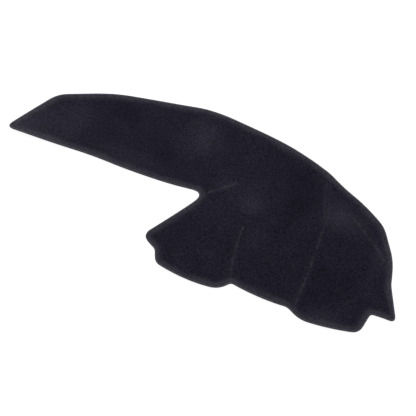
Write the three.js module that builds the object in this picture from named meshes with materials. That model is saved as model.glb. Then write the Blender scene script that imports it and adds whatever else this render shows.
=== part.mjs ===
// Dashboard cover mat for a right-hand-drive car, laid out on a flat surface.
// It is one sheet of short-pile carpet, cut to a pattern, shaped by four sewn darts and
// finished all round with a turned-under, stitched hem.
// Millimetres. +X runs across the car towards the driver's door, +Y towards the windscreen,
// +Z up. The origin is the middle of the mat's footprint, on the surface that it lies on.

import * as THREE from 'three';
import { ConvexHull } from 'three/addons/math/ConvexHull.js';

// How far the cut pattern reaches from the middle of the car's dashboard
const PASSENGER_REACH = 738; // to the tip at the passenger's door
const DRIVER_REACH = 735; // to the tip at the driver's door
const WINDSCREEN_REACH = 291;
const LIP_REACH = 280.5; // to the lip of the instrument hood
const PILLAR_SLANT = 118; // the passenger's end slants back by this much to the pillar
const DOOR_SLANT = 58.5; // and the driver's end by this much to its notch

// The carpet
const CARPET_THICKNESS = 4.5;

// The hem: the carpet's edge turned under and stitched down
const HEM_WIDTH = 11;
const HEM_RISE = 2.8; // how much the turned-under layer lifts the edge
const HEM_NOSE = 3.6; // how far in from the edge the rounded nose reaches
const HEM_RUNOUT = 13; // how far inside the hem the carpet comes down again
const STITCH_INSET = 8.5; // the stitch line, in from the edge
const STITCH_SINK = 1.3; // how deep the thread pulls the carpet down
const STITCH_REACH = 2.4; // half the width of that groove
const HEM_CUT_SLOPE = 0.5; // the turned-under layer's cut edge is this far from upright

// The darts, sewn from the underside
const SEAM_SINK = 2.2; // depth of the groove that a seam leaves in the pile
const SEAM_REACH = 5; // half the width of that groove
const ALLOWANCE_DROP = 7; // how far a seam's allowance stands down below the carpet
const ALLOWANCE_HALF = 4.5; // half the thickness of the two layers of that allowance
const ALLOWANCE_SLOPE = 2; // its sides are this far from upright
const ALLOWANCE_TAPER = 0.25; // share of a seam over which its allowance runs out
const DIP_SHARE = 0.3; // share of the swell that a seam holds down beside itself
const DIP_REACH = 60; // how far to each side it does so

// The swell over the instrument hood
const HOOD_RISE = 44;
const HOOD_CENTRE = new THREE.Vector2(292, -28);
const HOOD_HALF_LENGTH = 372;
const HOOD_HALF_DEPTH = 244;
const HOOD_TURN = THREE.MathUtils.degToRad(-4);

// The passenger's end curls up a little
const CURL_START = 500; // distance from the middle of the mat
const CURL_LENGTH = 240;
const CURL_RISE = 9;

// Places in the outline where a dart opens
const lipNotchInner = new THREE.Vector2(185, -245.5);
const lipNotchOuter = new THREE.Vector2(402.5, -257.5);
const lipDartEnd = new THREE.Vector2(398, 58); // where the dart from the outer notch ends
const doorNotch = new THREE.Vector2(DRIVER_REACH - DOOR_SLANT, -50);

// The cut pattern's corners, anticlockwise from the passenger's door. round is how far
// along each side the corner's curve starts, and bow is how far the side that follows
// swells outwards.
const patternCorners = [
  { at: new THREE.Vector2(-PASSENGER_REACH, -37.8), round: 32, bow: 1 }, // tip at the passenger's door
  { at: new THREE.Vector2(-423, -17), round: 70, bow: 3 }, // along the glove box
  { at: new THREE.Vector2(-128, -8.5), round: 40, bow: 0 },
  { at: new THREE.Vector2(-8, 8.5), round: 56, bow: -1.2 }, // inner corner beside the hood
  { at: new THREE.Vector2(-154, -207), round: 35, bow: 0 }, // ear over the centre stack
  { at: new THREE.Vector2(-94.5, -236), round: 7, bow: 0 },
  { at: new THREE.Vector2(-76, 3.5 - LIP_REACH), round: 18, bow: 9.5 }, // inner lobe
  { at: new THREE.Vector2(152, -LIP_REACH), round: 30, bow: 0 },
  { at: lipNotchInner, round: 9, bow: 6.3 }, // middle lobe
  { at: new THREE.Vector2(385, -249.5), round: 12, bow: 0 },
  { at: lipNotchOuter, round: 6, bow: 0 },
  { at: new THREE.Vector2(437, -272.5), round: 28, bow: 4.8 }, // outer lobe
  { at: new THREE.Vector2(633, -239.5), round: 26, bow: 0 },
  { at: new THREE.Vector2(646.5, -167), round: 10, bow: -1 }, // step for the door pillar
  { at: new THREE.Vector2(DRIVER_REACH, -163.5), round: 28, bow: 0 }, // tip at the driver's door
  { at: doorNotch, round: 10, bow: 1 },
  { at: new THREE.Vector2(650.5, 36), round: 30, bow: 0 },
  { at: new THREE.Vector2(590, 126), round: 26, bow: 4 }, // windscreen edge from here on
  { at: new THREE.Vector2(428, 198), round: 20, bow: 0 },
  { at: new THREE.Vector2(345, 235), round: 40, bow: 1.3 },
  { at: new THREE.Vector2(205, 270), round: 40, bow: 0.5 },
  { at: new THREE.Vector2(50, WINDSCREEN_REACH - 7), round: 30, bow: 0.3 },
  { at: new THREE.Vector2(-60, WINDSCREEN_REACH), round: 36, bow: 0 },
  { at: new THREE.Vector2(-128, WINDSCREEN_REACH - 4.8), round: 30, bow: 0 },
  { at: new THREE.Vector2(-213, 267.5), round: 20, bow: 0.3 },
  { at: new THREE.Vector2(-400, 228), round: 30, bow: 1.8 },
  { at: new THREE.Vector2(-518, 186), round: 15, bow: 0 },
  // corner at the windscreen pillar
  { at: new THREE.Vector2(PILLAR_SLANT - PASSENGER_REACH, 140), round: 34, bow: 0.5 },
];

// Each dart runs from its mouth in the outline, past a bend, to its tip. puff is how much
// the carpet stands up round the tip, and reach how far out.
const darts = [
  {
    mouth: new THREE.Vector2(-26, -9), // at the inner corner beside the hood
    bend: new THREE.Vector2(29, 43),
    tip: new THREE.Vector2(84, 81),
    puff: 5,
    reach: 120,
  },
  {
    mouth: new THREE.Vector2(176, -248), // in the hem, beside the inner notch
    bend: new THREE.Vector2(141, -85),
    tip: new THREE.Vector2(158, -37),
    puff: 13,
    reach: 150,
  },
  {
    mouth: lipNotchOuter,
    bend: new THREE.Vector2(411, -120),
    tip: lipDartEnd,
    puff: 13,
    reach: 170,
  },
  {
    mouth: doorNotch,
    bend: new THREE.Vector2(632, 42),
    tip: new THREE.Vector2(466, 119),
    puff: 6,
    reach: 130,
  },
];

// Small waves that the carpet keeps: where, how high and how far across
const waves = [
  { at: new THREE.Vector2(38, -284), rise: 6, reach: 130 }, // the lobes' edges stand off
  { at: new THREE.Vector2(290, -250), rise: 5, reach: 110 },
  { at: new THREE.Vector2(540, -258), rise: 6, reach: 110 },
  { at: new THREE.Vector2(655, 20), rise: 5, reach: 110 },
  { at: new THREE.Vector2(352, 222), rise: 4, reach: 130 },
  { at: new THREE.Vector2(120, 275), rise: 4, reach: 150 },
  { at: new THREE.Vector2(-110, 170), rise: 5, reach: 130 },
];

// The soft fold that runs on from the outer lip dart to the windscreen edge
const FOLD_END = new THREE.Vector2(354, 226);
const FOLD_RISE = 4;
const FOLD_REACH = 34;

// How finely the sheet is faceted
const EDGE_STEP = 26;
const CORNER_STEPS = 5;
const HOOD_STEP = 26;
const FLAT_STEP = 46;
const SEAM_STEP = 18;
const ROW_SHARE = 0.9; // a row's point stays if it is this share of its inset from the edge
const FIELD_SHARE = 0.5; // a grid point stays if it is this share of a step from the rest
const SCATTER = 0.002; // keeps any four points off one circle

const CROWN = CARPET_THICKNESS + HEM_RISE;
const NOSE_HEIGHT = CROWN / 2;
const HEM_INSIDE = HEM_WIDTH + HEM_RUNOUT;
const NOSE_ROW = HEM_NOSE / 3;

// The finished edge of the mat, seen from above, as points in anticlockwise order.
function outlinePoints() {
  const count = patternCorners.length;
  const sides = patternCorners.map((corner, i) => {
    const next = patternCorners[(i + 1) % count];
    const along = next.at.clone().sub(corner.at);
    const outward = new THREE.Vector2(along.y, -along.x).normalize();
    const middle = corner.at.clone().lerp(next.at, 0.5);
    const pull = middle.addScaledVector(outward, 2 * corner.bow);
    const leave = pull.clone().sub(corner.at).setLength(corner.round).add(corner.at);
    const arrive = pull.clone().sub(next.at).setLength(next.round).add(next.at);
    return { pull, leave, arrive };
  });
  const points = [];
  patternCorners.forEach((corner, i) => {
    const before = sides[(i + count - 1) % count];
    const side = sides[i];
    const bend = new THREE.QuadraticBezierCurve(before.arrive, corner.at, side.leave);
    const run = new THREE.QuadraticBezierCurve(side.leave, side.pull, side.arrive);
    const runSteps = Math.max(1, Math.round(run.getLength() / EDGE_STEP));
    points.push(...bend.getPoints(CORNER_STEPS).slice(0, -1));
    points.push(...run.getSpacedPoints(runSteps).slice(0, -1));
  });
  return points;
}

// The distance from a point to a chain of points, and how far along the chain its foot is.
function distanceToChain(point, chain, closed) {
  const last = closed ? chain.length : chain.length - 1;
  const foot = new THREE.Vector2();
  let nearest = Infinity;
  let share = 0;
  for (let i = 0; i < last; i++) {
    const a = chain[i];
    const b = chain[(i + 1) % chain.length];
    const along = b.clone().sub(a);
    const t = THREE.MathUtils.clamp(point.clone().sub(a).dot(along) / along.lengthSq(), 0, 1);
    foot.copy(a).addScaledVector(along, t);
    const gap = foot.distanceTo(point);
    if (gap < nearest) {
      nearest = gap;
      share = (i + t) / last;
    }
  }
  return { gap: nearest, share };
}

function isInside(point, outline) {
  let inside = false;
  outline.forEach((a, i) => {
    const b = outline[(i + 1) % outline.length];
    const crosses = a.y > point.y !== b.y > point.y;
    if (crosses && point.x < a.x + ((b.x - a.x) * (point.y - a.y)) / (b.y - a.y)) {
      inside = !inside;
    }
  });
  return inside;
}

// A smooth hump of height 1 that is exactly nothing from its reach outwards.
function hump(distance, reach) {
  const q = Math.min(1, (distance / reach) ** 2);
  return (1 - q) ** 2;
}

function ramp(value, start, length) {
  return THREE.MathUtils.smoothstep(value, start, start + length);
}

const outline = outlinePoints();
const seams = darts.map((dart) => {
  const curve = new THREE.QuadraticBezierCurve(dart.mouth, dart.bend, dart.tip);
  return { ...dart, chain: curve.getSpacedPoints(Math.round(curve.getLength() / SEAM_STEP)) };
});

// How far the carpet stands off the surface that the mat lies on.
function swell(point) {
  const local = point.clone().sub(HOOD_CENTRE).rotateAround(new THREE.Vector2(), -HOOD_TURN);
  const across = Math.hypot(local.x / HOOD_HALF_LENGTH, local.y / HOOD_HALF_DEPTH);
  let height = HOOD_RISE * hump(across, 1);
  for (const seam of seams) {
    const { gap, share } = distanceToChain(point, seam.chain, false);
    height *= 1 - DIP_SHARE * hump(gap, DIP_REACH) * (1 - share ** 2);
    height += seam.puff * hump(point.distanceTo(seam.tip), seam.reach);
  }
  for (const wave of waves) {
    height += wave.rise * hump(point.distanceTo(wave.at), wave.reach);
  }
  const fold = distanceToChain(point, [lipDartEnd, FOLD_END], false);
  height += FOLD_RISE * hump(fold.gap, FOLD_REACH);
  return height + CURL_RISE * ramp(-point.x, CURL_START, CURL_LENGTH);
}

// Height of the pile over the swell, by the distance in from the finished edge.
function pileHeight(inset) {
  if (inset < HEM_NOSE) {
    return NOSE_HEIGHT * (1 + Math.sqrt(1 - (1 - inset / HEM_NOSE) ** 2));
  }
  const rise = HEM_RISE * (1 - ramp(inset, HEM_WIDTH, HEM_RUNOUT));
  return CARPET_THICKNESS + rise - STITCH_SINK * hump(inset - STITCH_INSET, STITCH_REACH);
}

// Height of the backing over the swell, with the turned-under layer of the hem.
function backingHeight(inset) {
  if (inset < HEM_NOSE) {
    return NOSE_HEIGHT * (1 - Math.sqrt(1 - (1 - inset / HEM_NOSE) ** 2));
  }
  if (inset <= HEM_WIDTH) {
    return 0;
  }
  const cutEdge = Math.min(1, (inset - HEM_WIDTH) / HEM_CUT_SLOPE);
  return HEM_RISE * cutEdge * (1 - ramp(inset, HEM_WIDTH + HEM_CUT_SLOPE, HEM_RUNOUT));
}

function topHeight(point, inset) {
  let height = swell(point) + pileHeight(inset);
  for (const seam of seams) {
    const { gap, share } = distanceToChain(point, seam.chain, false);
    height -= SEAM_SINK * hump(gap, SEAM_REACH) * (1 - share ** 4) * ramp(inset, 0, HEM_WIDTH);
  }
  return height;
}

function underHeight(point, inset) {
  const clear = swell(point);
  let drop = 0;
  for (const seam of seams) {
    const { gap, share } = distanceToChain(point, seam.chain, false);
    const side = 1 - ramp(gap, ALLOWANCE_HALF, ALLOWANCE_SLOPE);
    const taper = Math.min(1, (1 - share) / ALLOWANCE_TAPER);
    const depth = Math.min(ALLOWANCE_DROP, clear) * ramp(inset, HEM_WIDTH, HEM_RUNOUT);
    drop = Math.max(drop, depth * side * taper);
  }
  return clear - drop + backingHeight(inset);
}

// A number between -1 and 1 that is always the same for the same seed.
function scatter(seed) {
  return 2 * (Math.abs(Math.sin(seed * 12.9898) * 43758.5453) % 1) - 1;
}

// The points at one distance in from the finished edge, without those that a corner crowds.
function insetRow(inset) {
  return outline.flatMap((point, i) => {
    const before = outline[(i + outline.length - 1) % outline.length];
    const after = outline[(i + 1) % outline.length];
    const inward = new THREE.Vector2(before.y - after.y, after.x - before.x).normalize();
    const moved = point.clone().addScaledVector(inward, inset);
    const clear = distanceToChain(moved, outline, true).gap;
    return clear > ROW_SHARE * inset ? [moved] : [];
  });
}

// Rows of points beside each seam, at the given distances from it.
function seamRows(offsets) {
  return seams.flatMap((seam) =>
    seam.chain.flatMap((point, i) => {
      const a = seam.chain[Math.max(0, i - 1)];
      const b = seam.chain[Math.min(seam.chain.length - 1, i + 1)];
      const sideways = new THREE.Vector2(a.y - b.y, b.x - a.x).normalize();
      return offsets.map((offset) => point.clone().addScaledVector(sideways, offset));
    }),
  );
}

// A grid of points, fine over the hood and coarse where the mat lies flat.
function fieldPoints() {
  const box = new THREE.Box2().setFromPoints(outline);
  const hoodEdge = HOOD_CENTRE.x - HOOD_HALF_LENGTH;
  const points = [];
  for (const [step, from, to] of [
    [FLAT_STEP, box.min.x, hoodEdge],
    [HOOD_STEP, hoodEdge, box.max.x],
  ]) {
    const rowStep = (step * Math.sqrt(3)) / 2;
    for (let row = 0; box.min.y + row * rowStep < box.max.y; row++) {
      for (let column = 0; from + (column + (row % 2) / 2) * step < to; column++) {
        const x = from + (column + (row % 2) / 2) * step;
        points.push(new THREE.Vector2(x, box.min.y + row * rowStep));
      }
    }
  }
  return points;
}

// One face of the sheet: triangles between the outline, the inset rows, the seam rows and
// the grid. Each point is kept only where it is clear of the points before it.
function faceTriangles(insets, seamOffsets) {
  const points = outline.map((point) => ({ at: point, inset: 0 }));
  const add = (candidates, clearOfEdge, clearOfPoints) => {
    for (const at of candidates) {
      const inset = distanceToChain(at, outline, true).gap;
      const crowded = points.some((other) => other.at.distanceTo(at) < clearOfPoints);
      if (isInside(at, outline) && inset > clearOfEdge && !crowded) {
        points.push({ at, inset });
      }
    }
  };
  insets.forEach((inset) => add(insetRow(inset), 0, 0));
  const hemInside = Math.max(...insets);
  add(seamRows(seamOffsets), hemInside + SEAM_REACH / 2, 0);
  add(fieldPoints(), hemInside, FIELD_SHARE * HOOD_STEP);

  // The lower side of the hull of the points on a paraboloid is their Delaunay mesh.
  const scattered = points.map(({ at }, i) => {
    const offset = new THREE.Vector2(scatter(2 * i + 1), scatter(2 * i + 2));
    return at.clone().addScaledVector(offset, SCATTER);
  });
  const scatteredOutline = scattered.slice(0, outline.length);
  const lifted = scattered.map((at, i) => {
    const point = new THREE.Vector3(at.x, at.y, at.lengthSq());
    point.index = i;
    return point;
  });
  const triangles = [];
  for (const face of new ConvexHull().setFromPoints(lifted).faces) {
    const corners = [face.edge, face.edge.next, face.edge.next.next].map((e) => e.head().point.index);
    const centre = new THREE.Vector2();
    corners.forEach((i) => centre.addScaledVector(scattered[i], 1 / 3));
    if (face.normal.z < 0 && isInside(centre, scatteredOutline)) {
      triangles.push(corners);
    }
  }
  return { points, triangles };
}

// The whole sheet as one closed body: the pile side and the backing side share the
// outline's points, where the nose of the hem is widest.
function matGeometry() {
  const stitchOuter = STITCH_INSET - STITCH_REACH;
  const hemCut = HEM_WIDTH + HEM_CUT_SLOPE;
  const allowanceFoot = ALLOWANCE_HALF + ALLOWANCE_SLOPE;
  const top = faceTriangles(
    [NOSE_ROW, HEM_NOSE, stitchOuter, STITCH_INSET, HEM_WIDTH, HEM_INSIDE],
    [0, SEAM_REACH, -SEAM_REACH],
  );
  const under = faceTriangles(
    [NOSE_ROW, HEM_NOSE, HEM_WIDTH, hemCut, HEM_INSIDE],
    [0, ALLOWANCE_HALF, -ALLOWANCE_HALF, allowanceFoot, -allowanceFoot],
  );
  const positions = [];
  const indices = [];
  top.points.forEach(({ at, inset }) => positions.push(at.x, at.y, topHeight(at, inset)));
  const underIndex = under.points.map(({ at, inset }, i) => {
    if (i < outline.length) {
      return i;
    }
    positions.push(at.x, at.y, underHeight(at, inset));
    return positions.length / 3 - 1;
  });
  const isAnticlockwise = (points, [a, b, c]) => {
    const ab = points[b].at.clone().sub(points[a].at);
    const ac = points[c].at.clone().sub(points[a].at);
    return ab.cross(ac) > 0;
  };
  for (const [a, b, c] of top.triangles) {
    indices.push(...(isAnticlockwise(top.points, [a, b, c]) ? [a, b, c] : [a, c, b]));
  }
  for (const [a, b, c] of under.triangles) {
    const turned = isAnticlockwise(under.points, [a, b, c]) ? [a, c, b] : [a, b, c];
    indices.push(...turned.map((i) => underIndex[i]));
  }
  const geometry = new THREE.BufferGeometry();
  geometry.setAttribute('position', new THREE.Float32BufferAttribute(positions, 3));
  geometry.setIndex(indices);
  geometry.computeVertexNormals();
  return geometry;
}

const carpet = new THREE.MeshStandardMaterial({ color: 0x21202b, roughness: 0.95, metalness: 0 });

function matPanel() {
  const geometry = matGeometry();
  geometry.computeBoundingBox();
  const box = geometry.boundingBox;
  const mesh = new THREE.Mesh(geometry, carpet);
  mesh.name = 'mat_panel';
  mesh.position.set(-(box.min.x + box.max.x) / 2, -(box.min.y + box.max.y) / 2, -box.min.z);
  return mesh;
}

const mat = new THREE.Group();
mat.add(matPanel());

export default mat;
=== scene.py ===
# %% [markdown]
# # A dashboard cover mat, dressed in Blender
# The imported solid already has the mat's outline, its hem, its darts and its swell. This
# lesson remakes the same sheet much finer, so that it can carry what a carpet shows from
# close up: a soft rolled edge, seams that draw the pile in, thread, pile and backing.
# Every length below is in millimetres until the mesh is made, and Blender's unit is the
# metre.

# %% The frame
import math

import bpy
import numpy as np
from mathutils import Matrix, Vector, geometry, noise


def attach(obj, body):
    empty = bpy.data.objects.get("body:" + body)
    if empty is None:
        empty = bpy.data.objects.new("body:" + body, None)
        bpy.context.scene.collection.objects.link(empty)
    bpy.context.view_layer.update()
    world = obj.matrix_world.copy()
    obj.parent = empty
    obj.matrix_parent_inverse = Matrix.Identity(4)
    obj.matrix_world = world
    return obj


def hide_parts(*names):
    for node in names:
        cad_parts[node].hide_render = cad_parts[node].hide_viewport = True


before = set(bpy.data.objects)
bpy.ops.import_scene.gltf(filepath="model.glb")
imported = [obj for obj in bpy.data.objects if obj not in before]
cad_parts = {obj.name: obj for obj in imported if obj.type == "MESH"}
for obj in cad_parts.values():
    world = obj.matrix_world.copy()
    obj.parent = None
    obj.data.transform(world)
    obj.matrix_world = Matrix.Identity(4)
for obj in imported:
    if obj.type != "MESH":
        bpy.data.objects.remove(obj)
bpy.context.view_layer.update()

MM = 0.001

# %% [markdown]
# ## The camera
# The photograph looks almost straight down on the mat, from a little towards the driver's
# side, so the mat lies turned in the picture. The camera could be turned by hand in the
# viewport. Two angles and a distance place it here, so that each can be changed alone, and
# it comes first because everything after it is judged through it.

# %% The camera
VIEW_AZIMUTH = math.radians(22.4)
VIEW_ELEVATION = math.radians(76.0)
VIEW_DISTANCE = 3.2
VIEW_TARGET = Vector((0.01612, -0.0364, 0.0))
LENS = 82.0
SENSOR_WIDTH = 36.0


def make_camera():
    data = bpy.data.cameras.new("camera")
    data.lens = LENS
    data.sensor_width = SENSOR_WIDTH
    data.clip_start = 0.05
    data.clip_end = 50.0
    camera = bpy.data.objects.new("camera", data)
    bpy.context.scene.collection.objects.link(camera)
    back = Vector(
        (
            math.sin(VIEW_AZIMUTH) * math.cos(VIEW_ELEVATION),
            -math.cos(VIEW_AZIMUTH) * math.cos(VIEW_ELEVATION),
            math.sin(VIEW_ELEVATION),
        )
    )
    camera.location = VIEW_TARGET + back * VIEW_DISTANCE
    camera.rotation_euler = (-back).to_track_quat("-Z", "Y").to_euler()
    bpy.context.scene.camera = camera
    return camera


camera = make_camera()
print("camera at", [round(value, 3) for value in camera.location])

# %% [markdown]
# ## The cut pattern
# The real mat is cut from one flat sheet of carpet. Its outline could be drawn with the
# curve tool. A chain of listed corners is used, the same as in the solid, because each
# line then says what it is on the car. Each corner is rounded by a curve that starts
# `round` along its sides, and each side swells by `bow`.

# %% The pattern's corners
PASSENGER_REACH = 738
DRIVER_REACH = 735
WINDSCREEN_REACH = 291
LIP_REACH = 280.5
PILLAR_SLANT = 118
DOOR_SLANT = 58.5
LIP_NOTCH_INNER = (185, -245.5)
LIP_NOTCH_OUTER = (402.5, -257.5)
LIP_DART_END = (398, 58)
DOOR_NOTCH = (DRIVER_REACH - DOOR_SLANT, -50)

# place, round, bow
CORNERS = [
    ((-PASSENGER_REACH, -37.8), 32, 1),  # tip at the passenger's door
    ((-423, -17), 70, 3),  # along the glove box
    ((-128, -8.5), 40, 0),
    ((-8, 8.5), 56, -1.2),  # inner corner beside the hood
    ((-154, -207), 35, 0),  # ear over the centre stack
    ((-94.5, -236), 7, 0),
    ((-76, 3.5 - LIP_REACH), 18, 9.5),  # inner lobe
    ((152, -LIP_REACH), 30, 0),
    (LIP_NOTCH_INNER, 9, 6.3),  # middle lobe
    ((385, -249.5), 12, 0),
    (LIP_NOTCH_OUTER, 6, 0),
    ((437, -272.5), 28, 4.8),  # outer lobe
    ((633, -239.5), 26, 0),
    ((646.5, -167), 10, -1),  # step for the door pillar
    ((DRIVER_REACH, -163.5), 28, 0),  # tip at the driver's door
    (DOOR_NOTCH, 10, 1),
    ((650.5, 36), 30, 0),
    ((590, 126), 26, 4),  # windscreen edge from here on
    ((428, 198), 20, 0),
    ((345, 235), 40, 1.3),
    ((205, 270), 40, 0.5),
    ((50, WINDSCREEN_REACH - 7), 30, 0.3),
    ((-60, WINDSCREEN_REACH), 36, 0),
    ((-128, WINDSCREEN_REACH - 4.8), 30, 0),
    ((-213, 267.5), 20, 0.3),
    ((-400, 228), 30, 1.8),
    ((-518, 186), 15, 0),
    ((PILLAR_SLANT - PASSENGER_REACH, 140), 34, 0.5),  # corner at the windscreen pillar
]

print("corners:", len(CORNERS))

# %% [markdown]
# A dart is a wedge that is sewn shut, so that flat carpet can bulge. Only its closed line
# shows, from a mouth over a bend to a tip, and the carpet puffs up round the tip. Three
# points on one curve give that line, which is less to keep than a chain of points.

# %% The darts
# mouth, bend, tip, puff, reach
DARTS = [
    ((-26, -9), (29, 43), (84, 81), 5, 120),
    ((176, -248), (141, -85), (158, -37), 13, 150),
    (LIP_NOTCH_OUTER, (411, -120), LIP_DART_END, 13, 170),
    (DOOR_NOTCH, (632, 42), (466, 119), 6, 130),
]

print("darts:", len(DARTS))

# %% Curves and even steps
OUTLINE_STEP = 4.0
CORNER_STEPS = 10
SEAM_STEP = 4.0
SEAM_CURVE_STEPS = 40


def curve_points(start, pull, end, count):
    """Points on a quadratic curve, without its end."""
    t = np.linspace(0, 1, count, endpoint=False)[:, None]
    return (1 - t) ** 2 * start + 2 * t * (1 - t) * pull + t**2 * end


def even_steps(chain, step, closed):
    """The same line with its points a step apart."""
    loop = np.vstack([chain, chain[:1]]) if closed else chain
    run = np.r_[0, np.cumsum(np.linalg.norm(np.diff(loop, axis=0), axis=1))]
    count = max(2, round(run[-1] / step))
    wanted = np.linspace(0, run[-1], count, endpoint=not closed)
    return np.stack([np.interp(wanted, run, loop[:, k]) for k in (0, 1)], axis=1)


print("steps along the outline and the seams, mm:", OUTLINE_STEP, SEAM_STEP)

# %% The outline and the seams


def outline_points():
    places = [np.array(place, float) for place, _, _ in CORNERS]
    count = len(places)
    leaves, pulls, arrives = [], [], []
    for i, (_, start_round, bow) in enumerate(CORNERS):
        here, there = places[i], places[(i + 1) % count]
        along = there - here
        outward = np.array([along[1], -along[0]]) / np.linalg.norm(along)
        pull = (here + there) / 2 + 2 * bow * outward
        end_round = CORNERS[(i + 1) % count][1]
        pulls.append(pull)
        leaves.append(here + (pull - here) / np.linalg.norm(pull - here) * start_round)
        arrives.append(there + (pull - there) / np.linalg.norm(pull - there) * end_round)
    parts = []
    for i in range(count):
        parts.append(curve_points(arrives[i - 1], places[i], leaves[i], CORNER_STEPS))
        steps = max(2, int(np.linalg.norm(arrives[i] - leaves[i]) / OUTLINE_STEP))
        parts.append(curve_points(leaves[i], pulls[i], arrives[i], steps))
    return np.vstack(parts)


def dart_line(mouth, bend, tip):
    curve = curve_points(*map(np.array, (mouth, bend, tip)), SEAM_CURVE_STEPS)
    return even_steps(np.vstack([curve, [tip]]), SEAM_STEP, closed=False)


rough_outline = outline_points()
shift = (rough_outline.min(0) + rough_outline.max(0)) / 2
outline = even_steps(rough_outline, OUTLINE_STEP, closed=True)
seams = [dart_line(*dart[:3]) for dart in DARTS]
print("outline:", len(outline), "points, footprint", np.ptp(outline, axis=0).round(1))

# %% [markdown]
# ## The way the carpet lies
# Five things lift the sheet off the table: the swell over the instrument hood, the puffs
# round the darts' tips, a few waves that a mat keeps from its box, one soft fold, and the
# curl of the passenger's end. The seams hold the swell down beside them. A cloth
# simulation or sculpting could give such a form. A sum of smooth humps is used because
# each can be named, placed and changed alone, and it gives the same mat every time.

# %% The swell's values
HOOD_RISE = 44
HOOD_CENTRE = np.array([292, -28])
HOOD_HALF_LENGTH = 372
HOOD_HALF_DEPTH = 244
HOOD_TURN = math.radians(-4)
DIP_SHARE = 0.3
DIP_REACH = 60
CURL_START = 500
CURL_LENGTH = 240
CURL_RISE = 9

# place, rise, reach
WAVES = [
    ((38, -284), 6, 130),
    ((290, -250), 5, 110),
    ((540, -258), 6, 110),
    ((655, 20), 5, 110),
    ((352, 222), 4, 130),
    ((120, 275), 4, 150),
    ((-110, 170), 5, 130),
]

# The soft fold that runs on from the outer lip dart to the windscreen edge
FOLD = np.array([LIP_DART_END, (354, 226)], float)
FOLD_RISE = 4
FOLD_REACH = 34

UNEVEN_RISE = 1.1  # the slow unevenness of a sheet that was rolled up
UNEVEN_SIZE = 95
UNEVEN_SEED = 3
PUCKER_RISE = 0.8  # the little folds that a seam draws into the carpet
PUCKER_SIZE = 30
PUCKER_REACH = 42
PUCKER_SEED = 20  # the first dart's, and each further dart has the next
LOOSE_REACH = 60  # the hem holds the carpet flat, and it is loose from here inwards
SEAM_PILLOW = 1.1  # the pile swells up on each side of a seam
SEAM_PILLOW_AT = 11
print("hood swell, mm:", HOOD_RISE, "waves:", len(WAVES))

# %% The swell


def hump(distance, reach):
    q = np.minimum(1, (np.asarray(distance) / reach) ** 2)
    return (1 - q) ** 2


def ramp(value, start, length):
    t = np.clip((np.asarray(value) - start) / length, 0, 1)
    return t * t * (3 - 2 * t)


def chain_distance(points, chain, closed):
    """Each point's distance to a chain, and how far along the chain its foot is."""
    starts = chain if closed else chain[:-1]
    ends = np.roll(chain, -1, axis=0) if closed else chain[1:]
    lengths = np.linalg.norm(ends - starts, axis=1)
    runs = np.r_[0, np.cumsum(lengths)]
    gap = np.full(len(points), np.inf)
    run = np.zeros(len(points))
    for start, end, length, before in zip(starts, ends, lengths, runs):
        along = (end - start) / length
        t = np.clip((points - start) @ along, 0, length)
        distance = np.linalg.norm(points - start - t[:, None] * along, axis=1)
        nearer = distance < gap
        gap[nearer] = distance[nearer]
        run[nearer] = before + t[nearer]
    return gap, run, runs[-1]


def soft_noise(points, size, seed):
    """Smooth noise between about -1 and 1 with features of the given size."""
    offset = Vector((seed * 17.3, seed * -9.1, seed * 4.7))
    return np.array([noise.noise(Vector((x / size, y / size, 0)) + offset) for x, y in points])


def swell(points, seam_facts):
    cosine, sine = math.cos(HOOD_TURN), math.sin(HOOD_TURN)
    local = (points - HOOD_CENTRE) @ np.array([[cosine, -sine], [sine, cosine]])
    across = np.hypot(local[:, 0] / HOOD_HALF_LENGTH, local[:, 1] / HOOD_HALF_DEPTH)
    height = HOOD_RISE * hump(across, 1)
    for (_, _, tip, puff, reach), (gap, share) in zip(DARTS, seam_facts):
        height = height * (1 - DIP_SHARE * hump(gap, DIP_REACH) * (1 - share**2))
        height = height + puff * hump(np.linalg.norm(points - tip, axis=1), reach)
    for place, rise, reach in WAVES:
        height = height + rise * hump(np.linalg.norm(points - place, axis=1), reach)
    height = height + FOLD_RISE * hump(chain_distance(points, FOLD, closed=False)[0], FOLD_REACH)
    return height + CURL_RISE * ramp(-points[:, 0], CURL_START, CURL_LENGTH)


clear_of_seams = [(np.full(1, np.inf), np.zeros(1)) for _ in DARTS]
print("swell at the hood's middle, mm:", swell(HOOD_CENTRE[None, :], clear_of_seams).round(1))

# %% [markdown]
# ## The hem and the seams
# A section through the edge: the carpet rolls round a soft nose, comes back underneath for
# the width of the hem and ends in a cut edge. One line of stitches holds it, and pulls the
# pile down as it goes through. A bevel could round the edge, but it can't turn the carpet
# under, so the section is written as two heights over the distance to the edge.

# %% The hem's section
CARPET_THICKNESS = 4.5
HEM_WIDTH = 11
HEM_RISE = 2.8
HEM_NOSE = 3.6
HEM_RUNOUT = 13
STITCH_INSET = 8.5
STITCH_SINK = 1.3
STITCH_REACH = 2.4
HEM_CUT_SLOPE = 0.5
SEAM_SINK = 2.2
SEAM_REACH = 5
ALLOWANCE_DROP = 7
ALLOWANCE_HALF = 4.5
ALLOWANCE_SLOPE = 2
ALLOWANCE_TAPER = 0.25
NOSE_HEIGHT = (CARPET_THICKNESS + HEM_RISE) / 2


def nose(inset):
    return np.sqrt(np.clip(1 - (1 - np.minimum(inset, HEM_NOSE) / HEM_NOSE) ** 2, 0, 1))


def pile_height(inset):
    rise = HEM_RISE * (1 - ramp(inset, HEM_WIDTH, HEM_RUNOUT))
    flat = CARPET_THICKNESS + rise - STITCH_SINK * hump(inset - STITCH_INSET, STITCH_REACH)
    return np.where(inset < HEM_NOSE, NOSE_HEIGHT * (1 + nose(inset)), flat)


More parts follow.
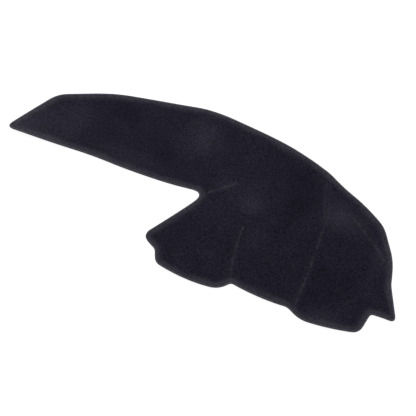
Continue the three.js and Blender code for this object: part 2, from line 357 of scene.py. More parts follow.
def backing_height(inset):
    cut = np.clip((inset - HEM_WIDTH) / HEM_CUT_SLOPE, 0, 1)
    raised = HEM_RISE * cut * (1 - ramp(inset, HEM_WIDTH + HEM_CUT_SLOPE, HEM_RUNOUT))
    flat = np.where(inset <= HEM_WIDTH, 0, raised)
    return np.where(inset < HEM_NOSE, NOSE_HEIGHT * (1 - nose(inset)), flat)


print("hem, mm:", HEM_WIDTH, "wide,", CARPET_THICKNESS + HEM_RISE, "thick")

# %% The two sides of the sheet


def sheet_facts(points):
    """What every point of the sheet needs to know: its place by the edge and the seams."""
    inset, _, _ = chain_distance(points, outline, closed=True)
    seam_facts = []
    for seam in seams:
        gap, along, length = chain_distance(points, seam, closed=False)
        seam_facts.append((gap, along / length))
    clear = swell(points, seam_facts)
    loose = ramp(inset, 0, LOOSE_REACH)
    clear = clear + UNEVEN_RISE * loose * (1 + soft_noise(points, UNEVEN_SIZE, UNEVEN_SEED))
    for k, (gap, _) in enumerate(seam_facts):
        pucker = soft_noise(points, PUCKER_SIZE, PUCKER_SEED + k)
        clear = clear + PUCKER_RISE * pucker * hump(gap, PUCKER_REACH) * loose
    return {"inset": inset, "seams": seam_facts, "clear": np.maximum(clear, 0)}


def pile_side(facts):
    height = facts["clear"] + pile_height(facts["inset"])
    inside = ramp(facts["inset"], 0, HEM_WIDTH)
    for gap, share in facts["seams"]:
        fade = (1 - share**4) * inside
        height = height - SEAM_SINK * hump(gap, SEAM_REACH) * fade
        height = height + SEAM_PILLOW * hump(gap - SEAM_PILLOW_AT, SEAM_PILLOW_AT) * fade
    return height


def backing_side(facts):
    drop = np.zeros(len(facts["clear"]))
    inside = ramp(facts["inset"], HEM_WIDTH, HEM_RUNOUT)
    for gap, share in facts["seams"]:
        side = 1 - ramp(gap, ALLOWANCE_HALF, ALLOWANCE_SLOPE)
        taper = np.minimum(1, (1 - share) / ALLOWANCE_TAPER)
        depth = np.minimum(ALLOWANCE_DROP, facts["clear"]) * inside
        drop = np.maximum(drop, depth * side * taper)
    return facts["clear"] - drop + backing_height(facts["inset"])


middle = sheet_facts(HOOD_CENTRE[None, :].astype(float))
print("carpet at the hood's middle, mm:", (pile_side(middle) - backing_side(middle)).round(2))

# %% [markdown]
# ## Painted sheen and shade on the pile
# A short pile looks paler where light catches it and darker where it doesn't. Soft patches
# paint that sheen and shade into the colour, and a painted sheen runs along both ridges of
# the fold and beside the seams. The pile also opens over a sewn line. The patches could be
# painted by hand. Here each has a place, a reach and an amount, as numbers on the mesh's
# points, so the material can treat them like any other mask.

# %% Where sheen and shade are painted on the pile
# place, reach across and along the car, amount: painted sheen above 0, painted shade below 0
PAINTED_LIGHT_PATCHES = [
    ((-650, 20), (215, 150), 1.05),  # the passenger's end
    ((-690, -20), (90, 90), 0.80),
    ((-525, 90), (90, 110), 0.60),
    ((-88, 178), (112, 104), 1.10),
    ((150, 14), (60, 60), 0.80),
    ((90, 50), (120, 80), 0.30),
    ((425, 90), (70, 80), 0.95),
    ((490, 95), (120, 74), 0.85),
    ((508, -236), (88, 40), 0.95),
    ((290, -240), (70, 40), 0.30),
    ((-300, 26), (180, 44), 0.60),
    ((620, 20), (56, 100), 0.60),
    ((205, -85), (66, 66), 0.30),
    ((165, -24), (50, 20), -0.20),
    ((285, 110), (95, 150), -0.36),
    ((215, 190), (120, 60), -0.12),
    ((265, 20), (80, 80), -0.16),
    ((480, -130), (130, 100), -0.24),
    ((-370, 170), (120, 70), -0.20),
    ((-200, 100), (80, 70), -0.20),
    ((-10, 210), (60, 70), -0.14),
]
FOLD_PAINTED_SHEEN = 0.55  # painted sheen along both ridges of the fold
FOLD_PAINTED_SHEEN_AT = 7.5
FOLD_PAINTED_SHEEN_REACH = 9
# painted sheen beside the seams
SEAM_PAINTED_SHEEN = 0.30
SEAM_PAINTED_SHEEN_REACH = 20
SEAM_LINE_REACH = 7  # half the width of the opened pile over a seam
SEAM_START = (0.14, 0.02, 0.01, 0.06)  # share of each dart before its line shows


def painted_light_of(points):
    lean = np.zeros(len(points))
    for place, reach, amount in PAINTED_LIGHT_PATCHES:
        lean = lean + amount * hump(np.linalg.norm((points - place) / reach, axis=1), 1)
    gap = chain_distance(points, FOLD, closed=False)[0]
    return lean + FOLD_PAINTED_SHEEN * hump(gap - FOLD_PAINTED_SHEEN_AT, FOLD_PAINTED_SHEEN_REACH)


def seam_line(facts):
    """How open the pile is over the seams, and the painted sheen next to them."""
    line = np.zeros(len(facts["inset"]))
    painted_sheen_beside = np.zeros(len(facts["inset"]))
    for (gap, share), start in zip(facts["seams"], SEAM_START):
        shown = ramp(share, start, 0.12) * (1 - 0.6 * ramp(share, 0.85, 0.15))
        line = np.maximum(line, hump(gap, SEAM_LINE_REACH) * shown)
        painted_sheen_beside = np.maximum(painted_sheen_beside, hump(gap, SEAM_PAINTED_SHEEN_REACH) * (1 - share**4))
    return line, SEAM_PAINTED_SHEEN * painted_sheen_beside


print("patches of lean:", len(PAINTED_LIGHT_PATCHES))

# %% [markdown]
# ## The sheet's mesh
# Rows of points follow the hem and the seams, where the form turns quickly, and an even
# grid fills the rest. A plain grid with a solidify modifier would be simpler, but it would
# cut the hem into steps. A Delaunay mesh joins the rows instead. The pile side and the
# backing side have the same mesh, so the sheet keeps its thickness and closes at the nose.

# %% The sheet's mesh
HEM_ROWS = [0.35, 1.1, 2.2, 3.6, 5.0, 6.1, 7.0, 7.8, 8.5, 9.2, 10.0, 11.0, 11.5, 13.5, 16.5, 20, 24]
SEAM_ROWS = [0, 1.2, 2.6, 4.5, 5.5, 6.5, 9]
GRID_STEP = 4.8
GRID_ROOM = 0.6 * GRID_STEP  # between the grid and the rows
SEAM_ROOM = 1.5  # between the seams' rows and the hem's
ROW_SHARE = 0.93  # a hem point that comes nearer to the edge than this share is dropped
CLOSEST = 1e-5


def normals_of(chain, closed):
    ahead = np.roll(chain, -1, axis=0)
    behind = np.roll(chain, 1, axis=0)
    if not closed:
        ahead[-1], behind[0] = chain[-1], chain[0]
    along = ahead - behind
    along /= np.linalg.norm(along, axis=1)[:, None]
    return np.stack([-along[:, 1], along[:, 0]], axis=1)


def is_inside(points):
    inside = np.zeros(len(points), bool)
    for a, b in zip(outline, np.roll(outline, -1, axis=0)):
        if a[1] == b[1]:
            continue
        crosses = (a[1] > points[:, 1]) != (b[1] > points[:, 1])
        crossing = a[0] + (b[0] - a[0]) * (points[:, 1] - a[1]) / (b[1] - a[1])
        inside ^= crosses & (points[:, 0] < crossing)
    return inside


print("even grid, mm:", GRID_STEP, "hem rows:", len(HEM_ROWS), "seam rows:", len(SEAM_ROWS))

# %% Rows along the hem and the seams, and the grid


def hem_points():
    inward = normals_of(outline, closed=True)
    rows = []
    for inset in HEM_ROWS:
        row = outline + inset * inward
        gap, _, _ = chain_distance(row, outline, closed=True)
        rows.append(row[gap > ROW_SHARE * inset])
    return np.vstack(rows)


def seam_points():
    rows = []
    for seam in seams:
        side = normals_of(seam, closed=False)
        for offset in SEAM_ROWS:
            rows.append(seam + offset * side)
            if offset:
                rows.append(seam - offset * side)
    points = np.vstack(rows)
    points = points[is_inside(points)]
    gap, _, _ = chain_distance(points, outline, closed=True)
    return points[gap > HEM_ROWS[-1] + SEAM_ROOM]


def grid_points():
    low, high = outline.min(0), outline.max(0)
    rise = GRID_STEP * math.sqrt(3) / 2
    rows = []
    for k, y in enumerate(np.arange(low[1], high[1], rise)):
        x = np.arange(low[0] + (k % 2) * GRID_STEP / 2, high[0], GRID_STEP)
        rows.append(np.stack([x, np.full(len(x), y)], axis=1))
    points = np.vstack(rows)
    points = points[is_inside(points)]
    gap, _, _ = chain_distance(points, outline, closed=True)
    points = points[gap > HEM_ROWS[-1] + GRID_ROOM]
    for seam in seams:
        gap, _, _ = chain_distance(points, seam, closed=False)
        points = points[gap > SEAM_ROWS[-1] + GRID_ROOM]
    return points


print("points in the hem, the seams and the grid:")
print(len(hem_points()), len(seam_points()), len(grid_points()))

# %% The sheet seen from above


def plan_mesh():
    """All the sheet's points seen from above, and the triangles between them."""
    points = np.vstack([outline, hem_points(), seam_points(), grid_points()])
    count = len(outline)
    edges = [(i, (i + 1) % count) for i in range(count)]
    made = geometry.delaunay_2d_cdt([Vector(p) for p in points], edges, [], 1, CLOSEST)
    return np.array([list(v) for v in made[0]]), np.array([list(f) for f in made[2]])


plan, triangles = plan_mesh()
facts = sheet_facts(plan)
print("sheet:", len(plan), "points a side,", 2 * len(triangles), "triangles")
print("height of the pile, mm:", round(float(pile_side(facts).max()), 1))

# %% [markdown]
# The two sides share the points of the outline itself. What a material needs to know about
# a place, such as how near it is to the edge or to a seam, goes with the mesh as named
# attributes. A texture image could hold the same, but numbers on the points need no
# unwrapping and stay sharp where the rows are close.

# %% The sheet as an object


def give_attribute(mesh, name, values):
    layer = mesh.attributes.new(name, "FLOAT", "POINT")
    layer.data.foreach_set("value", np.asarray(values, np.float32))


def sheet_object():
    on_edge = facts["inset"] < 1e-3
    top = np.column_stack([plan - shift, pile_side(facts)])
    under = np.column_stack([plan - shift, backing_side(facts)])
    lower = np.where(on_edge, np.arange(len(plan)), 0)
    lower[~on_edge] = len(plan) + np.arange((~on_edge).sum())
    a, b, c = (plan[triangles[:, k]] for k in range(3))
    ab, ac = b - a, c - a
    twice_area = ab[:, 0] * ac[:, 1] - ac[:, 0] * ab[:, 1]
    up = np.where((twice_area > 0)[:, None], triangles, triangles[:, ::-1])
    down = lower[up[:, ::-1]]
    mesh = bpy.data.meshes.new("mat_sheet")
    places = np.vstack([top, under[~on_edge]]) * MM
    mesh.from_pydata(places.tolist(), [], np.vstack([up, down]).tolist())
    line, painted_sheen_beside = seam_line(facts)
    named = {"edge_gap": facts["inset"] * MM, "seam_line": line, "lean": painted_light_of(plan) + painted_sheen_beside}
    for name, values in named.items():
        give_attribute(mesh, name, np.r_[values, values[~on_edge]])
    mesh.shade_smooth()
    sheet = bpy.data.objects.new("mat_sheet", mesh)
    bpy.context.scene.collection.objects.link(sheet)
    return sheet


sheet = sheet_object()
print("sheet object:", len(sheet.data.vertices), "points")

# %% [markdown]
# ## Materials
# The pile is short and nearly black with a blue cast. Up close it is a field of fine
# tufts, from further off it is cloudy, with tone that varies at random and patches of
# painted sheen and shade. The backing is a flat needled felt. The nodes could be laid out
# by hand in the shader editor. A few helpers make and link them here, so a material reads
# as a list of steps.

# %% Node helpers


def new_material(name):
    material = bpy.data.materials.new(name)
    material.use_nodes = True
    nodes = material.node_tree.nodes
    nodes.clear()
    output = nodes.new("ShaderNodeOutputMaterial")
    shader = nodes.new("ShaderNodeBsdfPrincipled")
    material.node_tree.links.new(shader.outputs["BSDF"], output.inputs["Surface"])
    return material, shader


def add(tree, kind, inputs=None, **settings):
    """A node with its settings and inputs: a socket is linked, and a value is set."""
    node = tree.nodes.new(kind)
    for key, value in settings.items():
        setattr(node, key, value)
    for key, value in (inputs or {}).items():
        if isinstance(value, bpy.types.NodeSocket):
            tree.links.new(value, node.inputs[key])
        else:
            node.inputs[key].default_value = value
    return node


def maths(tree, operation, a, b=0.0, clamp=False):
    node = add(tree, "ShaderNodeMath", {0: a, 1: b}, operation=operation, use_clamp=clamp)
    return node.outputs[0]


def blend_colour(tree, factor, a, b):
    node = add(tree, "ShaderNodeMix", {"Factor": factor}, data_type="RGBA")
    for name, value in (("A", a), ("B", b)):
        socket = [s for s in node.inputs if s.name == name and s.type == "RGBA"][0]
        if isinstance(value, bpy.types.NodeSocket):
            tree.links.new(value, socket)
        else:
            socket.default_value = value
    return [s for s in node.outputs if s.type == "RGBA"][0]


def attribute(tree, name):
    return add(tree, "ShaderNodeAttribute", attribute_name=name).outputs["Fac"]


def fall(tree, value, start, end):
    """1 up to start, running down to 0 at end."""
    node = add(
        tree,
        "ShaderNodeMapRange",
        {"Value": value, "From Min": start, "From Max": end, "To Min": 1.0, "To Max": 0.0},
        interpolation_type="SMOOTHSTEP",
    )
    return node.outputs["Result"]


def straight_fall(tree, value, start, end):
    """The same with an even slope."""
    node = add(
        tree,
        "ShaderNodeMapRange",
        {"Value": value, "From Min": start, "From Max": end, "To Min": 1.0, "To Max": 0.0},
    )
    return node.outputs["Result"]


def new_group(name, inputs, outputs):
    group = bpy.data.node_groups.new(name, "ShaderNodeTree")
    for label, kind, value in inputs:
        socket = group.interface.new_socket(label, in_out="INPUT", socket_type=kind)
        if value is not None:
            socket.default_value = value
    for label, kind in outputs:
        group.interface.new_socket(label, in_out="OUTPUT", socket_type=kind)
    return group, group.nodes.new("NodeGroupInput"), group.nodes.new("NodeGroupOutput")


def noise_on(tree, place, scale, detail, roughness):
    inputs = {"Vector": place, "Scale": scale, "Detail": detail, "Roughness": roughness}
    return add(tree, "ShaderNodeTexNoise", inputs).outputs["Fac"]


def paint(tree, shader, colour, height, strength, distance):
    """Give a shader its colour and its bump."""
    tree.links.new(colour, shader.inputs["Base Color"])
    bump = add(tree, "ShaderNodeBump", {"Height": height, "Strength": strength, "Distance": distance})
    tree.links.new(bump.outputs["Normal"], shader.inputs["Normal"])


print("helpers: materials, nodes, groups, noise and bump")

# %% [markdown]
# The tufts are one shared group, because the thread and the felt are made of the same kind
# of fibre, only finer or flatter. Hair could grow real tufts, but nobody could tell them
# apart on a mat this size. Small cells give each tuft its tip and its own shade, and a
# slower noise gathers the tufts into clumps.

# %% The fibre group
FLOAT, VECTOR = "NodeSocketFloat", "NodeSocketVector"
CLUMP_LOW = 0.3  # the noise below this is a gap, and above CLUMP_HIGH a full clump
CLUMP_HIGH = 0.7
CLUMP_RISE = 0.25  # how much of a clump's share is height and not only shade
OWN_SHADE = 0.5  # a tuft's own random shade
DENSE_SHADE = 0.6  # the shade that its height and its clump give it


def fibre_group():
    group, given, made = new_group(
        "Fibres",
        [
            ("Vector", VECTOR, None),
            ("Tuft Size", FLOAT, 0.0012),
            ("Clump Size", FLOAT, 0.006),
            ("Clump Share", FLOAT, 0.35),
        ],
        [("Height", FLOAT), ("Shade", FLOAT)],
    )
    tuft_scale = maths(group, "DIVIDE", 1.0, given.outputs["Tuft Size"])
    clump_scale = maths(group, "DIVIDE", 1.0, given.outputs["Clump Size"])
    cells = add(
        group,
        "ShaderNodeTexVoronoi",
        {"Vector": given.outputs["Vector"], "Scale": tuft_scale, "Randomness": 1.0},
        feature="F1",
    )
    grain = noise_on(group, given.outputs["Vector"], tuft_scale, 3.0, 0.6)
    clumps = noise_on(group, given.outputs["Vector"], clump_scale, 2.0, 0.55)
    tip = maths(group, "SUBTRACT", 1.0, cells.outputs["Distance"], clamp=True)
    fine = maths(group, "MULTIPLY", tip, grain)
    open_clumps = add(
        group,
        "ShaderNodeMapRange",
        {"Value": clumps, "From Min": CLUMP_LOW, "From Max": CLUMP_HIGH},
    ).outputs["Result"]
    clump = maths(group, "MULTIPLY", open_clumps, given.outputs["Clump Share"])
    height = maths(group, "ADD", fine, maths(group, "MULTIPLY", clump, CLUMP_RISE))
    density = maths(group, "ADD", fine, clump)
    random_shade = add(group, "ShaderNodeSeparateColor", {"Color": cells.outputs["Color"]}).outputs[0]
    own_shade = maths(group, "MULTIPLY", random_shade, OWN_SHADE)
    shade = maths(group, "ADD", own_shade, maths(group, "MULTIPLY", density, DENSE_SHADE))
    group.links.new(height, made.inputs["Height"])
    group.links.new(shade, made.inputs["Shade"])
    return group


FIBRES = fibre_group()


def fibres(tree, vector, tuft, clump, share):
    node = add(tree, "ShaderNodeGroup", node_tree=FIBRES)
    tree.links.new(vector, node.inputs["Vector"])
    node.inputs["Tuft Size"].default_value = tuft
    node.inputs["Clump Size"].default_value = clump
    node.inputs["Clump Share"].default_value = share
    return node.outputs["Height"], node.outputs["Shade"]


print("fibre group:", len(FIBRES.nodes), "nodes")

# %% [markdown]
# The pile: the shade runs from the dark between the tufts to their lit tips, times the
# painted sheen and shade of the patches. Slow clouds vary the tone at random. Slow clouds
# stand for the lean that is too small to name. Over the folded edge a painted sheen makes
# the pile paler, and that fades over the hem's run-out. The pile over a seam is open and
# paler, in a broken line. A photo of carpet could be laid over the sheet, but it would show
# no link between the seams and the shade. These masks do.

# %% The pile's values
PILE_DARK = (0.0010, 0.0008, 0.0016, 1)
PILE_LIT = (0.0318, 0.0284, 0.0502, 1)
# the paler colour of the open pile over the seams, and of the painted sheen
PILE_OPEN_AND_SHEEN = (0.0850, 0.0790, 0.0975, 1)
PILE_TUFT = 0.0013
PILE_CLUMP = 0.0056
PILE_CLUMP_SHARE = 2.0
PILE_TONE = 0.435
LEVEL_LIGHT = 0.65  # the tone of pile without painted sheen or shade
PAINTED_LIGHT_SHOW = 0.16
CLOUD_SCALE = 14.0
CLOUD_SHOW = 0.7
# the painted sheen over the hem, fading out from the edge
RIM_START = 0.003
RIM_END = 0.032
RIM_EVEN = 0.4  # the rim's width follows the clouds, apart from this much
RIM_WANDER = 1.3
RIM_POWER = 2.0
GROOVE_START = 0.0006  # half the width of the shade round the stitches
GROOVE_END = 0.0026
GROOVE_SHADE = 0.4
NOSE_START = 0.0006  # how far in the shade on the rolled nose reaches
NOSE_END = 0.0030
NOSE_SHADE = 0.45
SEAM_SHOW = 0.42
BREAK_SCALE = 70.0
BREAK_LEVEL = 0.36
BREAK_SLOPE = 3.6
OPEN_EVEN = 0.33  # open pile and painted sheen show their paler colour this much, and more at the tips
OPEN_AT_TIPS = 0.42
PILE_BUMP = 0.9
PILE_DEPTH = 0.0012
print("tufts and clumps, mm:", round(PILE_TUFT / MM, 2), round(PILE_CLUMP / MM, 2))

# %% The pile


def pile_with_painted_light(tree, shade, clouds):
    """The pile's colour with its painted shade, and how much painted sheen it gets."""
    lean = attribute(tree, "lean")
    painted_shade = maths(tree, "MINIMUM", lean, 0.0)
    painted_sheen = maths(tree, "MULTIPLY", maths(tree, "MAXIMUM", lean, 0.0), PAINTED_LIGHT_SHOW)
    cloudy = maths(tree, "MULTIPLY", clouds, CLOUD_SHOW)
    light = maths(tree, "ADD", cloudy, maths(tree, "ADD", painted_shade, LEVEL_LIGHT))
    tone = maths(tree, "MULTIPLY", maths(tree, "MULTIPLY", shade, light), PILE_TONE)
    return blend_colour(tree, tone, PILE_DARK, PILE_LIT), painted_sheen


def painted_rim_sheen(tree, clouds):
    """The painted sheen over the folded edge, less in the painted shade of the stitches' groove and
    the rolled nose.
    """
    inset = attribute(tree, "edge_gap")
    width = maths(tree, "ADD", maths(tree, "MULTIPLY", clouds, RIM_WANDER), RIM_EVEN)
    fading = straight_fall(tree, maths(tree, "MULTIPLY", inset, width), RIM_START, RIM_END)
    from_stitches = maths(tree, "ABSOLUTE", maths(tree, "SUBTRACT", inset, STITCH_INSET * MM))
    groove = maths(tree, "MULTIPLY", fall(tree, from_stitches, GROOVE_START, GROOVE_END), GROOVE_SHADE)
    rolled = maths(tree, "MULTIPLY", fall(tree, inset, NOSE_START, NOSE_END), NOSE_SHADE)
    shaded = maths(tree, "SUBTRACT", 1.0, maths(tree, "MAXIMUM", groove, rolled))
    return maths(tree, "MULTIPLY", maths(tree, "POWER", fading, RIM_POWER), shaded)


def seam_gap(tree, place):
    """How open the pile is over the seams, in a broken line."""
    above = maths(tree, "SUBTRACT", noise_on(tree, place, BREAK_SCALE, 3.0, 0.6), BREAK_LEVEL)
    breaks = maths(tree, "MULTIPLY", above, BREAK_SLOPE, clamp=True)
    line = maths(tree, "MULTIPLY", attribute(tree, "seam_line"), breaks)
    return maths(tree, "MULTIPLY", line, SEAM_SHOW)


def pile_material():
    material, shader = new_material("carpet_pile")
    tree = material.node_tree
    place = add(tree, "ShaderNodeTexCoord").outputs["Object"]
    height, shade = fibres(tree, place, PILE_TUFT, PILE_CLUMP, PILE_CLUMP_SHARE)
    clouds = noise_on(tree, place, CLOUD_SCALE, 3.0, 0.55)
    colour, painted_sheen = pile_with_painted_light(tree, shade, clouds)
    # painted sheen over the hem, and the open pile over the seams
    gap = maths(tree, "MAXIMUM", painted_rim_sheen(tree, clouds), seam_gap(tree, place))
    at_tips = maths(tree, "ADD", maths(tree, "MULTIPLY", shade, OPEN_AT_TIPS), OPEN_EVEN)
    open_pile_and_sheen = maths(tree, "MULTIPLY", maths(tree, "ADD", gap, painted_sheen), at_tips)
    colour = blend_colour(tree, open_pile_and_sheen, colour, PILE_OPEN_AND_SHEEN)
    paint(tree, shader, colour, height, PILE_BUMP, PILE_DEPTH)
    shader.inputs["Roughness"].default_value = 0.95
    shader.inputs["Specular IOR Level"].default_value = 0.05
    shader.inputs["Sheen Weight"].default_value = 0.06
    shader.inputs["Sheen Roughness"].default_value = 0.45
    shader.inputs["Sheen Tint"].default_value = (0.60, 0.56, 1.0, 1)
    return material


pile = pile_material()
print("pile material:", len(pile.node_tree.nodes), "nodes")

# %% [markdown]
# The backing is grey needled felt, which isn't seen from above. It could be left plain. It
# gets the same fibres, coarser, flatter and evenly grey, because the mat may be looked at
# from below, too.

# %% The backing
FELT_DARK = (0.030, 0.030, 0.033, 1)
FELT_LIT = (0.085, 0.085, 0.092, 1)
FELT_TUFT = 0.0022
FELT_CLUMP = 0.012
FELT_CLUMP_SHARE = 0.6


def backing_material():
    material, shader = new_material("carpet_backing")
    tree = material.node_tree
    place = add(tree, "ShaderNodeTexCoord").outputs["Object"]
    height, shade = fibres(tree, place, FELT_TUFT, FELT_CLUMP, FELT_CLUMP_SHARE)
    paint(tree, shader, blend_colour(tree, shade, FELT_DARK, FELT_LIT), height, 0.5, 0.0006)
    shader.inputs["Roughness"].default_value = 0.9
    shader.inputs["Specular IOR Level"].default_value = 0.2
    return material


backing = backing_material()
print("backing material:", len(backing.node_tree.nodes), "nodes")

# %% [markdown]
# The thread is a dark twisted polyester, a little glossier than the pile. A wave texture
# could draw its twist, but at this width the fine fibres already break up its light.

# %% The thread
THREAD_DARK = (0.010, 0.010, 0.014, 1)
THREAD_LIT = (0.040, 0.039, 0.052, 1)
THREAD_TUFT = 0.0004
THREAD_CLUMP = 0.002
THREAD_CLUMP_SHARE = 0.3


def thread_material():
    material, shader = new_material("thread")
    tree = material.node_tree
    place = add(tree, "ShaderNodeTexCoord").outputs["Object"]
    height, shade = fibres(tree, place, THREAD_TUFT, THREAD_CLUMP, THREAD_CLUMP_SHARE)
    paint(tree, shader, blend_colour(tree, shade, THREAD_DARK, THREAD_LIT), height, 0.4, 0.0002)
    shader.inputs["Roughness"].default_value = 0.6
    shader.inputs["Sheen Weight"].default_value = 0.1
    return material


thread = thread_material()
print("thread material:", len(thread.node_tree.nodes), "nodes")

# %% [markdown]
# The turned-under hem shows its pile on the underside too, so the backing only starts at
# the hem's cut edge. The sheet could be cut in two there. It stays one closed mesh, and
# each face gets its material by how far it lies from the edge.

# %% Pile and backing on the sheet


def paint_sheet():
    mesh = sheet.data
    mesh.materials.append(pile)
    mesh.materials.append(backing)
    half = len(triangles)
    centre_gap = facts["inset"][triangles].mean(axis=1)
    is_backing = centre_gap > HEM_WIDTH
    slots = np.r_[np.zeros(half, int), is_backing.astype(int)]
    mesh.polygons.foreach_set("material_index", slots)
    return int(is_backing.sum())


print("faces of backing:", paint_sheet())

# %% [markdown]
# ## The stitches
# A lockstitch shows as short, separate strokes of thread on both sides of the hem. They
# could be placed with an array on a curve. One Geometry Nodes group lays a stitch at every
# step along a line instead, because it can also turn each one a little, as sewing does.

# %% The stitch group
STITCH_PITCH = 5.0
STITCH_LENGTH = 3.9
THREAD_WIDTH = 0.75
STITCH_WOBBLE = 0.09
TOP_SEED = 7
UNDER_SEED = 8
STITCH_SIZES = {
    "Pitch": STITCH_PITCH * MM,
    "Stitch Length": STITCH_LENGTH * MM,
    "Thread Width": THREAD_WIDTH * MM,
}


def stitch_group():
    group = bpy.data.node_groups.new("Stitches", "GeometryNodeTree")
    group.interface.new_socket("Geometry", in_out="INPUT", socket_type="NodeSocketGeometry")
    for label, value in STITCH_SIZES.items():
        socket = group.interface.new_socket(label, in_out="INPUT", socket_type=FLOAT)
        socket.default_value = value
    socket = group.interface.new_socket("Seed", in_out="INPUT", socket_type="NodeSocketInt")
    socket.default_value = TOP_SEED
    group.interface.new_socket("Geometry", in_out="OUTPUT", socket_type="NodeSocketGeometry")
    given, made = group.nodes.new("NodeGroupInput"), group.nodes.new("NodeGroupOutput")
    stations = add(
        group,
        "GeometryNodeCurveToPoints",
        {"Curve": given.outputs["Geometry"], "Length": given.outputs["Pitch"]},
        mode="LENGTH",
    )
    ball = add(group, "GeometryNodeMeshUVSphere", {"Segments": 8, "Rings": 6, "Radius": 0.5})
    width, length = given.outputs["Thread Width"], given.outputs["Stitch Length"]
    size = add(group, "ShaderNodeCombineXYZ", {"X": width, "Y": width, "Z": length})
    stitch = add(
        group,
        "GeometryNodeTransform",
        {"Geometry": ball.outputs["Mesh"], "Scale": size.outputs["Vector"]},
    )
    most = (STITCH_WOBBLE, STITCH_WOBBLE, 0.0)
    least = (-STITCH_WOBBLE, -STITCH_WOBBLE, 0.0)
    wobble = add(
        group,
        "FunctionNodeRandomValue",
        {"Min": least, "Max": most, "Seed": given.outputs["Seed"]},
        data_type="FLOAT_VECTOR",
    )
    turned = add(
        group,
        "FunctionNodeRotateRotation",
        {"Rotation": stations.outputs["Rotation"], "Rotate By": wobble.outputs["Value"]},
        rotation_space="LOCAL",
    )
    laid = add(
        group,
        "GeometryNodeInstanceOnPoints",
        {
            "Points": stations.outputs["Points"],
            "Instance": stitch.outputs["Geometry"],
            "Rotation": turned.outputs["Rotation"],
        },
    )
    real = add(group, "GeometryNodeRealizeInstances", {"Geometry": laid.outputs["Instances"]})
    smooth = add(group, "GeometryNodeSetShadeSmooth", {"Geometry": real.outputs["Geometry"]})
    painted = add(
        group,
        "GeometryNodeSetMaterial",
        {"Geometry": smooth.outputs["Geometry"], "Material": thread},
    )
    group.links.new(painted.outputs["Geometry"], made.inputs["Geometry"])
    return group


STITCHES = stitch_group()
print("stitch group:", len(STITCHES.nodes), "nodes")

# %% [markdown]
# The lines that the stitches follow lie in the hem's groove. They could be picked from the
# sheet's edges, but those are not evenly spaced, so the outline is stepped inwards and its
# heights are worked out as the sheet's were. Each line's stitches are turned into a plain
# mesh, so that nothing depends on the group later.

# %% The stitched lines
THREAD_PROUD = 0.25  # how far the thread's middle stands off the carpet
THREAD_STEP = 1.5
THREAD_SHARE = 0.985  # a point of the line that comes nearer to the edge is dropped


def line_object(name, line, heights):
    data = bpy.data.curves.new(name, "CURVE")
    data.dimensions = "3D"
    spline = data.splines.new("POLY")
    spline.points.add(len(line) - 1)
    places = np.column_stack([line - shift, heights, np.full(len(line), 1 / MM)]) * MM
    spline.points.foreach_set("co", places.ravel())
    spline.use_cyclic_u = True
    made = bpy.data.objects.new(name, data)
    bpy.context.scene.collection.objects.link(made)
    return made


def stitched(name, line, heights, seed):
    guide = line_object(name + "_line", line, heights)
    modifier = guide.modifiers.new("stitches", "NODES")
    modifier.node_group = STITCHES
    inputs = [item for item in STITCHES.interface.items_tree if item.in_out == "INPUT"]
    sockets = {item.name: item.identifier for item in inputs}
    modifier[sockets["Seed"]] = seed
    evaluated = guide.evaluated_get(bpy.context.evaluated_depsgraph_get())
    mesh = bpy.data.meshes.new_from_object(evaluated)
    mesh.name = name
    stitches = bpy.data.objects.new(name, mesh)
    bpy.context.scene.collection.objects.link(stitches)
    bpy.data.objects.remove(guide)
    return stitches


def hem_line():
    inward = normals_of(outline, closed=True)
    line = outline + STITCH_INSET * inward
    gap, _, _ = chain_distance(line, outline, closed=True)
    return even_steps(line[gap > THREAD_SHARE * STITCH_INSET], THREAD_STEP, closed=True)


line = hem_line()
line_facts = sheet_facts(line)
over, below = pile_side(line_facts) + THREAD_PROUD, backing_side(line_facts) - THREAD_PROUD
hem_thread_top = stitched("hem_thread_top", line, over, TOP_SEED)
hem_thread_under = stitched("hem_thread_under", line, below, UNDER_SEED)
print("stitches:", len(hem_thread_top.data.polygons), "faces on top")

# %% [markdown]
# ## Riding on the frame
# The new sheet stands for the imported one and rides on the part's one body. The threads
# could be joined to it, but apart they keep their own material and the sheet stays closed.

# %% Riding on the frame


for piece in (sheet, hem_thread_top, hem_thread_under):
    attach(piece, "root")
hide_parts("mat_panel")

# %% [markdown]
# ## Floor and light
# The mat lies on a plain pale floor that looks white, most of it by its own glow and the
# rest by the light that falls on it, so the mat still throws a faint shadow. That glow and
# the white of the room are for rays from the camera, a mirror or glass only, so neither
# adds light to the mat. One broad soft light comes from the windscreen side, and the pale
# room fills the rest.

# %% The floor and the lights
FLOOR_SIZE = 12.0
FLOOR_DROP = 0.0006
FLOOR_GLOW_SHARE = 0.6
FLOOR_GLOW = 1.375
FLOOR_COLOUR = (0.8, 0.8, 0.8, 1)
ROOM_LIGHT = 0.55
LIGHT_TARGET = (0.1, 0, 0)


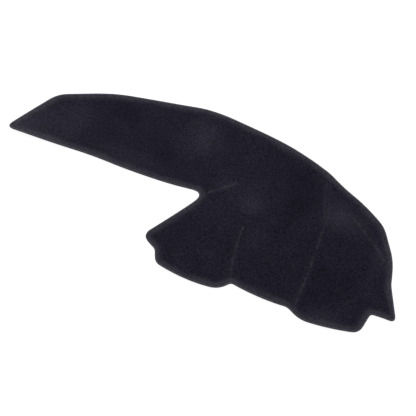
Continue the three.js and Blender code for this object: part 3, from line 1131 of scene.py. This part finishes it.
def sees_background(tree):
    """1 for a ray from the camera, a mirror or glass."""
    ray = add(tree, "ShaderNodeLightPath").outputs
    bounced = maths(tree, "MAXIMUM", ray["Is Glossy Ray"], ray["Is Transmission Ray"])
    return maths(tree, "MAXIMUM", ray["Is Camera Ray"], bounced)


def make_floor():
    bpy.ops.mesh.primitive_plane_add(size=FLOOR_SIZE, location=(0, 0, -FLOOR_DROP))
    floor = bpy.context.object
    floor.name = "floor"
    material, shader = new_material("floor")
    tree = material.node_tree
    shader.inputs["Base Color"].default_value = FLOOR_COLOUR
    shader.inputs["Roughness"].default_value = 0.9
    glow = add(tree, "ShaderNodeEmission", {"Color": (1, 1, 1, 1), "Strength": FLOOR_GLOW})
    share = maths(tree, "MULTIPLY", sees_background(tree), FLOOR_GLOW_SHARE)
    lit, glowing = shader.outputs["BSDF"], glow.outputs["Emission"]
    mix = add(tree, "ShaderNodeMixShader", {0: share, 1: lit, 2: glowing})
    output = [node for node in tree.nodes if node.type == "OUTPUT_MATERIAL"][0]
    tree.links.new(mix.outputs[0], output.inputs["Surface"])
    floor.data.materials.append(material)


def make_world():
    world = bpy.data.worlds.new("room")
    world.use_nodes = True
    tree = world.node_tree
    tree.nodes.clear()
    seen = sees_background(tree)
    room = add(tree, "ShaderNodeBackground", {"Color": (1, 1, 1, 1), "Strength": ROOM_LIGHT})
    white = add(tree, "ShaderNodeBackground", {"Color": (1, 1, 1, 1), "Strength": 1.0})
    mix = add(tree, "ShaderNodeMixShader", {0: seen, 1: room.outputs[0], 2: white.outputs[0]})
    add(tree, "ShaderNodeOutputWorld", {"Surface": mix.outputs[0]})
    bpy.context.scene.world = world


def area_light(name, place, size, power):
    data = bpy.data.lights.new(name, "AREA")
    data.shape = "DISK"
    data.size = size
    data.energy = power
    lamp = bpy.data.objects.new(name, data)
    lamp.location = place
    lamp.rotation_euler = (Vector(LIGHT_TARGET) - Vector(place)).to_track_quat("-Z", "Y").to_euler()
    bpy.context.scene.collection.objects.link(lamp)


make_floor()
make_world()
area_light("key", place=(-1.6, 2.2, 2.4), size=1.6, power=60)
area_light("fill", place=(1.8, -2.2, 2.6), size=2.2, power=20)
bpy.context.scene.view_settings.view_transform = "Standard"
print("floor, room and two lights are in place")
